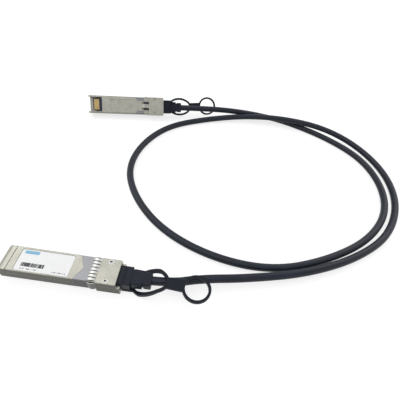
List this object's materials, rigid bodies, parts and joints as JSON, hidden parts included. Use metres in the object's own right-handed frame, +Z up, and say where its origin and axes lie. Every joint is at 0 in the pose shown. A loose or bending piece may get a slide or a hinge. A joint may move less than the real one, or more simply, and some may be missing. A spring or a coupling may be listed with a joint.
{
  "type": "direct-attach network cable",
  "caption": "Slim round network cord lying in a loose loop, with a plated metal pluggable module, strain relief and pull tab on either end.",
  "frame": {"origin": "on the near module's nose plane and centre line, level with the flat underside of its head, which is the surface the part lies on", "axes": "+X from the near module's nose along it to its cord, +Z up, away from the surface the part lies on, +Y towards the far module"},
  "size_m": [0.2429, 0.1825, 0.0165],
  "materials": {
    "nickel_casting": "satin nickel plate on a zinc die casting",
    "board_green": "solder mask",
    "contact_gold": "hard gold plate",
    "chip_black": "moulded package",
    "capacitor_ceramic": "ceramic",
    "core_insulation": "foil-wrapped foamed insulation",
    "glue_clear": "low-pressure hot-melt moulding",
    "crimp_brass": "plated brass",
    "collar_steel": "bright stamped spring steel",
    "latch_steel": "stamped steel",
    "spring_steel": "spring steel",
    "screw_steel": "plated steel",
    "label_white": "coated film",
    "boot_black": "moulded elastomer, satin",
    "tab_black": "moulded elastomer, satin",
    "jacket_slate": "extruded jacket, soft sheen"
  },
  "bodies": {
    "cable_assembly": {"near_shell_bottom": "nickel_casting", "near_shell_top": "nickel_casting", "near_circuit_board": "board_green", "near_contact_pads": "contact_gold", "near_memory_chip": "chip_black", "near_coupling_capacitors": "capacitor_ceramic", "near_twinax_cores": "core_insulation", "near_wire_mould": "glue_clear", "near_crimp_ring": "crimp_brass", "near_emi_collar": "collar_steel", "near_return_spring": "spring_steel", "near_cover_screws": "screw_steel", "near_label": "label_white", "near_strain_relief": "boot_black", "far_shell_bottom": "nickel_casting", "far_shell_top": "nickel_casting", "far_circuit_board": "board_green", "far_contact_pads": "contact_gold", "far_memory_chip": "chip_black", "far_coupling_capacitors": "capacitor_ceramic", "far_twinax_cores": "core_insulation", "far_wire_mould": "glue_clear", "far_crimp_ring": "crimp_brass", "far_emi_collar": "collar_steel", "far_return_spring": "spring_steel", "far_cover_screws": "screw_steel", "far_label": "label_white", "far_strain_relief": "boot_black", "cable": "jacket_slate"},
    "near_latch": {"near_latch_slider": "latch_steel", "near_pull_tab": "tab_black"},
    "far_latch": {"far_latch_slider": "latch_steel", "far_pull_tab": "tab_black"}
  },
  "joints": [
    {"name": "near_latch_slide", "type": "slide", "parent": "cable_assembly", "child": "near_latch", "axis": [1, 0, 0], "range_m": [0, 0.0022], "stiffness_N_per_m": 300, "springref_m": -0.002, "deforming": ["near_return_spring"]},
    {"name": "far_latch_slide", "type": "slide", "parent": "cable_assembly", "child": "far_latch", "axis": [0.9789, 0.2045, 0], "range_m": [0, 0.0022], "stiffness_N_per_m": 300, "springref_m": -0.002, "deforming": ["far_return_spring"]}
  ]
}
